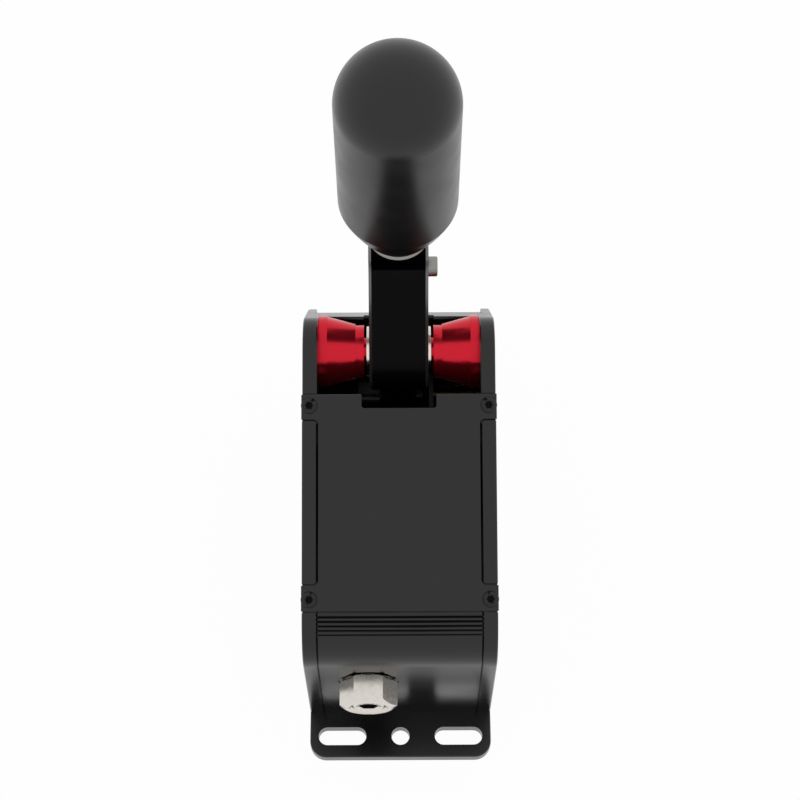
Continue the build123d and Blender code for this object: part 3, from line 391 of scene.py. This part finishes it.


# compression springs, drawn in parts along their length; the front one is in two parts, as its front end
# sits in the adjuster's cup
coilSprings = {
    "wire": 2.1, "pitch": 3.62, "stepsPerTurn": 48, "columns": 20,
    "parts": (      # piece, node, where along the spring it starts and ends, body at its start and at its end
        ("frontSpringCupPart", "front_spring", 0.0, 0.43, "spring_cup", "housing"),
        ("frontSpringRodPart", "front_spring", 0.43, 1.0, "housing", "push_rod"),
        ("rearSpring", "rear_spring", 0.0, 1.0, "push_rod", "housing"),
    ),
}


# the wire's middle runs on a helix: mean radius times cosine and sine of the angle across, and along y a
# steady climb; round it the section is a circle between the outward direction and the third one
def makeSprings(s):
    half = s["wire"] / 2
    for name, node, startShare, endShare, nearBody, farBody in s["parts"]:
        low, high = [np.array(corner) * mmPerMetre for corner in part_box(node)]
        middle = (low + high) / 2
        meanRadius = (high[0] - low[0]) / 2 - half
        rise = high[1] - low[1] - 2 * half
        allTurns = round(4 * rise / s["pitch"]) / 4
        steps = round(allTurns * (endShare - startShare) * s["stepsPerTurn"])
        angle = 2 * math.pi * np.linspace(startShare, endShare, steps + 1) * allTurns
        climb = rise / (2 * math.pi * allTurns)
        nothing = np.zeros_like(angle)
        outward = np.stack([np.cos(angle), nothing, np.sin(angle)], axis=-1)
        heading = np.stack([-meanRadius * np.sin(angle), nothing + climb, meanRadius * np.cos(angle)], axis=-1)
        heading /= np.linalg.norm(heading, axis=-1, keepdims=True)
        third = np.cross(heading, outward)
        wireMiddle = outward * meanRadius
        wireMiddle[:, 0] += middle[0]
        wireMiddle[:, 1] += low[1] + half + climb * angle
        wireMiddle[:, 2] += middle[2]
        turn = np.linspace(0, 2 * math.pi, s["columns"], endpoint=False)[None, :, None]
        body = wireMiddle[:, None] + half * (
            np.cos(turn) * outward[:, None] + np.sin(turn) * third[:, None]
        )
        ends = [np.broadcast_to(wireMiddle[row], (1, s["columns"], 3)) for row in (0, -1)]
        piece = makeShells(name, [np.concatenate([ends[0], body, ends[1]]) / mmPerMetre], ["blackOxideSteel"])
        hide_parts(node)
        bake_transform(piece)


makeSprings(coilSprings)
print("stage: springs")


# distance to a hexagon's side at an angle: half the width over flats over the cosine of the angle from
# the middle of the nearest side, with a corner at angle 0
def hexagonRadius(turn, acrossFlats):
    return acrossFlats / 2 / np.cos(np.mod(turn, math.pi / 3) - math.pi / 6)


# button head screws: a domed head with a hexagon socket, broken round its mouth, on a plain shank
coverScrew = {
    "headRadius": 2.83, "headHeight": 1.63, "socket": 2.4, "socketDepth": 1.2, "socketBreak": 0.3,
    "drillTip": 0.25, "shankRadius": 1.48, "length": 7.9, "endBreak": 0.4, "rim": 0.15, "columns": 96,
    "domeRows": 10,
}
deckAngle = math.radians(17.5)
deckDown = (0.0, math.sin(deckAngle), -math.cos(deckAngle))      # into the sloping cover
frontScrewPlaces = [
    (x, y, z) for x in (-30.5, 30.5) for y, z in ((-49.166, 81.576), (13.401, 101.303))
]
rearScrewPlaces = [(x, 65.75, z) for x in (-14.5, 14.5) for z in (17.85, 52.4)]


# rows of the screw from the socket's bottom over the dome to the shank's end; the dome is part of a sphere
# whose radius is (head radius squared + height squared) over twice the height
def buttonScrewGrid(s, place, inward):
    turn = np.linspace(0, 2 * math.pi, s["columns"], endpoint=False)[None, :]
    hexagon = hexagonRadius(turn, s["socket"])
    sphere = (s["headRadius"] ** 2 + (s["headHeight"] - s["rim"]) ** 2) / (2 * (s["headHeight"] - s["rim"]))
    mouth = s["socket"] / 2 / math.cos(math.pi / 6) + s["socketBreak"]
    domeRadius = np.linspace(mouth, s["headRadius"], s["domeRows"])[:, None]
    domeAlong = s["headHeight"] - sphere + np.sqrt(sphere ** 2 - domeRadius ** 2)
    floor = s["headHeight"] - s["socketDepth"]
    flat = np.ones_like(turn)
    radius = np.concatenate([
        0 * flat, hexagon, hexagon, domeRadius * flat, s["headRadius"] * flat, s["shankRadius"] * flat,
        s["shankRadius"] * flat, (s["shankRadius"] - s["endBreak"]) * flat, 0 * flat,
    ])
    along = np.concatenate([
        (floor - s["drillTip"]) * flat, floor * flat, (domeAlong[0] - s["socketBreak"]) * flat,
        domeAlong * flat, 0 * flat, 0 * flat,
        (s["endBreak"] - s["length"]) * flat, -s["length"] * flat, -s["length"] * flat,
    ])
    return turnedGrid(radius, along, turn, place, [-value for value in inward])


def makeCoverScrews(s):
    for name, node, places, inward in (
        ("coverScrews", "cover_screws", frontScrewPlaces, deckDown),
        ("rearCoverScrews", "rear_cover_screws", rearScrewPlaces, (0.0, -1.0, 0.0)),
    ):
        grids = [buttonScrewGrid(s, place, inward) for place in places]
        # the sockets' walls and floor take the painted shade
        piece = makeShells(name, grids, ["oiledOxideSteel", "dullSocketOxideAndPaintedShade"], inner=2)
        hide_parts(node)
        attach(piece, "housing")


makeCoverScrews(coverScrew)
print("stage: cover screws")


# clamp screw in the lever's head: a cap head with a straight knurl and a hexagon socket
clampScrew = {
    "place": (9.5, 62.0, 110.2), "headRadius": 3.48, "headHeight": 4.0, "knurls": 30, "knurlDepth": 0.09,
    "headBreak": 0.35, "socket": 3.0, "socketDepth": 2.0, "socketBreak": 0.2, "drillTip": 0.3,
    "shankRadius": 1.98, "length": 13.9, "columns": 240, "sharpAngle": 50.0,
}


# the knurl takes a depth off the radius as a wave: depth times (1 - cosine of knurls times the angle) over 2
def makeClampScrew(s):
    turn = np.linspace(0, 2 * math.pi, s["columns"], endpoint=False)[None, :]
    flat = np.ones_like(turn)
    hexagon = hexagonRadius(turn, s["socket"])
    knurled = s["headRadius"] - s["knurlDepth"] * (1 - np.cos(s["knurls"] * turn)) / 2
    mouth = s["socket"] / 2 / math.cos(math.pi / 6) + s["socketBreak"]
    top, small = s["headHeight"], s["headRadius"] - s["headBreak"]
    radius = np.concatenate([
        0 * flat, hexagon, hexagon, mouth * flat, small * flat, knurled, knurled, small * flat,
        s["shankRadius"] * flat, s["shankRadius"] * flat, 0 * flat,
    ])
    along = np.concatenate([
        (top - s["socketDepth"] - s["drillTip"]) * flat, (top - s["socketDepth"]) * flat,
        (top - s["socketBreak"]) * flat, top * flat, top * flat, (top - s["headBreak"]) * flat,
        s["headBreak"] / 2 * flat, 0 * flat, 0 * flat, -s["length"] * flat, -s["length"] * flat,
    ])
    # the socket's walls and floor take the painted shade
    piece = makeShells(
        "clampScrew", [turnedGrid(radius, along, turn, s["place"], (1.0, 0.0, 0.0))],
        ["turnedSteel", "dullSocketOxideAndPaintedShade"], s["sharpAngle"], inner=2,
    )
    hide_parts("clamp_screw")
    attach(piece, "lever")


makeClampScrew(clampScrew)
print("stage: clamp screw")


# ring under the knob, with a broad chamfer round its top edge
knobCollar = {
    "place": (0.0, 69.0, 121.5), "columns": 128,
    "profile": (      # (radius, height)
        (0.0, 0.0), (10.65, 0.0), (10.78, 0.13), (10.78, 0.35), (9.88, 1.1), (9.8, 1.48), (0.0, 1.48),
    ),
}


# the profile's points turned round the knob's axis
def makeKnobCollar(s):
    turn = np.linspace(0, 2 * math.pi, s["columns"], endpoint=False)[None, :]
    profile = np.array(s["profile"])
    grid = turnedGrid(profile[:, :1], profile[:, 1:], turn, s["place"], (0.0, 0.0, 1.0))
    piece = makeShells("knobCollar", [grid], ["turnedSteel"])
    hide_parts("knob_collar")
    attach(piece, "lever")


makeKnobCollar(knobCollar)
print("stage: knob collar")


# preload adjuster: a long set screw with a coarse thread, a broken end and a hexagon socket
adjuster = {
    "place": (-11.0, -76.45, 46.2), "crest": 5.93, "pitch": 1.75, "threadDepth": 0.9, "length": 34.9,
    "endBreak": 0.85, "socket": 6.0, "socketDepth": 5.5, "socketBreak": 0.35, "drillTip": 0.8,
    "columns": 72, "rowsPerPitch": 8,
}


# thread: the radius is the crest less the depth times a triangle wave of (height over pitch - angle over a
# turn), and never more than the end's 45 degree chamfer leaves
def makeAdjusterScrew(s):
    turn = np.linspace(0, 2 * math.pi, s["columns"], endpoint=False)[None, :]
    flat = np.ones_like(turn)
    hexagon = hexagonRadius(turn, s["socket"])
    rows = int(s["length"] / s["pitch"] * s["rowsPerPitch"])
    depthIn = np.linspace(0, s["length"], rows)[:, None]
    phase = np.mod(depthIn / s["pitch"] - turn / (2 * math.pi), 1.0)
    thread = s["crest"] - s["threadDepth"] * (1 - np.abs(2 * phase - 1))
    chamfer = s["crest"] - s["endBreak"] + np.minimum(depthIn, s["length"] - depthIn)
    body = np.minimum(thread, np.minimum(chamfer, s["crest"]))
    mouth = s["socket"] / 2 / math.cos(math.pi / 6) + s["socketBreak"]
    radius = np.concatenate([0 * flat, hexagon, hexagon, mouth * flat, body, 0 * flat])
    along = np.concatenate([
        -(s["socketDepth"] + s["drillTip"]) * flat, -s["socketDepth"] * flat, -s["socketBreak"] * flat,
        0 * flat, -depthIn * flat, -s["length"] * flat,
    ])
    # the socket's walls and floor take the painted shade
    piece = makeShells(
        "adjusterScrew", [turnedGrid(radius, along, turn, s["place"], (0.0, -1.0, 0.0))],
        ["tumbledStainlessSteel", "dullSocketOxideAndPaintedShade"], inner=2,
    )
    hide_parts("adjuster_screw")
    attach(piece, "adjuster")


makeAdjusterScrew(adjuster)
print("stage: adjuster screw")


# sprung contacts in the data socket: eight bent gold strips side by side over the tongue
contacts = {
    "middle": (18.6, 67.0, 36.2), "count": 8, "spacing": 0.72, "width": 0.4, "thickness": 0.22,
    "route": ((-12.2, -1.2), (-9.0, -0.9), (-4.2, 0.9), (-3.4, 1.0), (-3.0, 0.5)),   # (y, z) from the middle
    "steps": 24,
}


# a strip is a rectangle carried along its route: the route is a chain of points, made smooth by reading it
# at even steps and averaging neighbours twice, and the normal is the direction turned a quarter
def makeContacts(s):
    route = np.array(s["route"])
    reach = np.concatenate([[0], np.cumsum(np.linalg.norm(np.diff(route, axis=0), axis=1))])
    even = np.linspace(0, reach[-1], s["steps"])
    line = np.stack([np.interp(even, reach, route[:, 0]), np.interp(even, reach, route[:, 1])], axis=-1)
    for _ in range(2):
        line[1:-1] = (line[:-2] + 2 * line[1:-1] + line[2:]) / 4
    heading = np.gradient(line, axis=0)
    heading /= np.linalg.norm(heading, axis=1)[:, None]
    normal = np.stack([-heading[:, 1], heading[:, 0]], axis=-1)
    corners = np.array([(-1, -1), (1, -1), (1, 1), (-1, 1)]) * (s["width"] / 2, s["thickness"] / 2)
    section = line[:, None, :] + corners[None, :, 1, None] * normal[:, None, :]
    grids = []
    for index in range(s["count"]):
        x = (index - (s["count"] - 1) / 2) * s["spacing"]
        body = np.concatenate([np.broadcast_to(x + corners[None, :, :1], (s["steps"], 4, 1)), section], axis=-1)
        ends = [np.broadcast_to(row.mean(axis=0), (1, 4, 3)) for row in (body[0], body[-1])]
        grids.append((np.concatenate([ends[0], body, ends[1]]) + s["middle"]) / mmPerMetre)
    piece = makeShells("socketContacts", grids, ["goldPlate"])
    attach(piece, "housing")


makeContacts(contacts)
print("stage: socket contacts")


# studio: the levels of the light that falls on the object, soft overhead and high in front, strong behind,
# weaker at the sides and almost none low in front; the camera and all reflections see plain white instead
studio = {
    "floorHalf": 3.0,              # metres
    "floorDrop": 0.0002,           # metres under the object's feet, so that the two faces don't flicker
    "floorColour": "#f4f4f4",
    "floorGlow": 0.97,             # share of plain white in the floor that the camera sees
    "topLevel": 0.98,
    "backLevel": 0.9,
    "sideLevel": 0.52,
    "roomLevel": 0.01,
    "frontEdge": 30.5,             # degrees, where the overhead light begins in front
    "sideEdge": 52.0,              # and at the sides
    "frontHalf": (35.0, 55.0),     # degrees from straight ahead, between the two edges
    "roomHalf": (14.0, 26.0),      # degrees from straight ahead, the unlit part's soft sides
    "backFrom": (125.0, 150.0),    # degrees from straight ahead, where the light from behind begins
    "soft": 4.0,                   # degrees, half the width of the overhead light's edge
}


# floor: plain white in reflections and pale paint to all other light; the camera sees floorGlow of plain
# white and only the rest as paint, so the object's shadow hardly shows on it
def makeFloor(s):
    half = s["floorHalf"]
    mesh = bpy.data.meshes.new("floor")
    corners = [(-half, -half, 0), (half, -half, 0), (half, half, 0), (-half, half, 0)]
    mesh.from_pydata(corners, [], [(0, 1, 2, 3)])
    floor = bpy.data.objects.new("floor", mesh)
    bpy.context.scene.collection.objects.link(floor)
    floor.location.z = -s["floorDrop"]
    material, tree = newMaterial("whiteTable")
    path = addNode(tree, "ShaderNodeLightPath")
    mirrored = addNode(
        tree, "ShaderNodeMath", {"operation": "MAXIMUM"},
        {0: path.outputs["Is Glossy Ray"], 1: path.outputs["Is Transmission Ray"]},
    )
    share = addNode(
        tree, "ShaderNodeMix", {3: s["floorGlow"]},
        {0: path.outputs["Is Camera Ray"], 2: mirrored.outputs[0]},
    )
    paint = addNode(tree, "ShaderNodeBsdfDiffuse", {"Color": hexToLinear(s["floorColour"])})
    glow = addNode(tree, "ShaderNodeEmission", {"Color": (1, 1, 1, 1), "Strength": 1.0})
    mix = addNode(
        tree, "ShaderNodeMixShader", {}, {0: share.outputs[0], 1: paint.outputs[0], 2: glow.outputs[0]},
    )
    addNode(tree, "ShaderNodeOutputMaterial", {}, {"Surface": mix.outputs[0]})
    mesh.materials.append(material)


# world: plain white to the camera and in reflections; to other light its level depends on the degrees above
# the horizon and the degrees from straight ahead (-Y)
def makeWorld(s):
    world = bpy.data.worlds.new("studio")
    bpy.context.scene.world = world
    world.use_nodes = True
    tree = world.node_tree
    tree.nodes.clear()
    degree = math.degrees(1)
    coords = addNode(tree, "ShaderNodeTexCoord")
    parts = addNode(tree, "ShaderNodeSeparateXYZ", {}, {"Vector": coords.outputs["Generated"]})
    lift = addNode(tree, "ShaderNodeMath", {"operation": "ARCSINE"}, {0: parts.outputs["Z"]})
    rise = addNode(tree, "ShaderNodeMath", {"operation": "MULTIPLY", 1: degree}, {0: lift.outputs[0]})
    ahead = addNode(tree, "ShaderNodeMath", {"operation": "MULTIPLY", 1: -1.0}, {0: parts.outputs["Y"]})
    sideways = addNode(tree, "ShaderNodeMath", {"operation": "ABSOLUTE"}, {0: parts.outputs["X"]})
    swing = addNode(
        tree, "ShaderNodeMath", {"operation": "ARCTAN2"}, {0: sideways.outputs[0], 1: ahead.outputs[0]},
    )
    turn = addNode(tree, "ShaderNodeMath", {"operation": "MULTIPLY", 1: degree}, {0: swing.outputs[0]})

    shares = {}
    for name in ("backFrom", "roomHalf", "frontHalf"):
        shares[name] = addNode(
            tree, "ShaderNodeMapRange",
            {"interpolation_type": "SMOOTHSTEP", "From Min": s[name][0], "From Max": s[name][1]},
            {"Value": turn.outputs[0]},
        ).outputs[0]
    behind = addNode(tree, "ShaderNodeMix", {2: s["sideLevel"], 3: s["backLevel"]}, {0: shares["backFrom"]})
    low = addNode(tree, "ShaderNodeMix", {2: s["roomLevel"]}, {0: shares["roomHalf"], 3: behind.outputs[0]})
    edge = addNode(tree, "ShaderNodeMix", {2: s["frontEdge"], 3: s["sideEdge"]}, {0: shares["frontHalf"]})
    over = addNode(tree, "ShaderNodeMath", {"operation": "SUBTRACT"}, {0: rise.outputs[0], 1: edge.outputs[0]})
    above = addNode(
        tree, "ShaderNodeMapRange",
        {"interpolation_type": "SMOOTHSTEP", "From Min": -s["soft"], "From Max": s["soft"]},
        {"Value": over.outputs[0]},
    )
    level = addNode(tree, "ShaderNodeMix", {3: s["topLevel"]}, {0: above.outputs[0], 2: low.outputs[0]})
    path = addNode(tree, "ShaderNodeLightPath")
    mirrored = addNode(
        tree, "ShaderNodeMath", {"operation": "MAXIMUM"},
        {0: path.outputs["Is Glossy Ray"], 1: path.outputs["Is Transmission Ray"]},
    )
    shown = addNode(
        tree, "ShaderNodeMath", {"operation": "MAXIMUM"},
        {0: path.outputs["Is Camera Ray"], 1: mirrored.outputs[0]},
    )
    strength = addNode(tree, "ShaderNodeMix", {3: 1.0}, {0: shown.outputs[0], 2: level.outputs[0]})
    sky = addNode(tree, "ShaderNodeBackground", {"Color": (1, 1, 1, 1)}, {"Strength": strength.outputs[0]})
    addNode(tree, "ShaderNodeOutputWorld", {}, {"Surface": sky.outputs[0]})


makeFloor(studio)
makeWorld(studio)
bpy.context.scene.view_settings.view_transform = "Standard"
print("stage: studio")
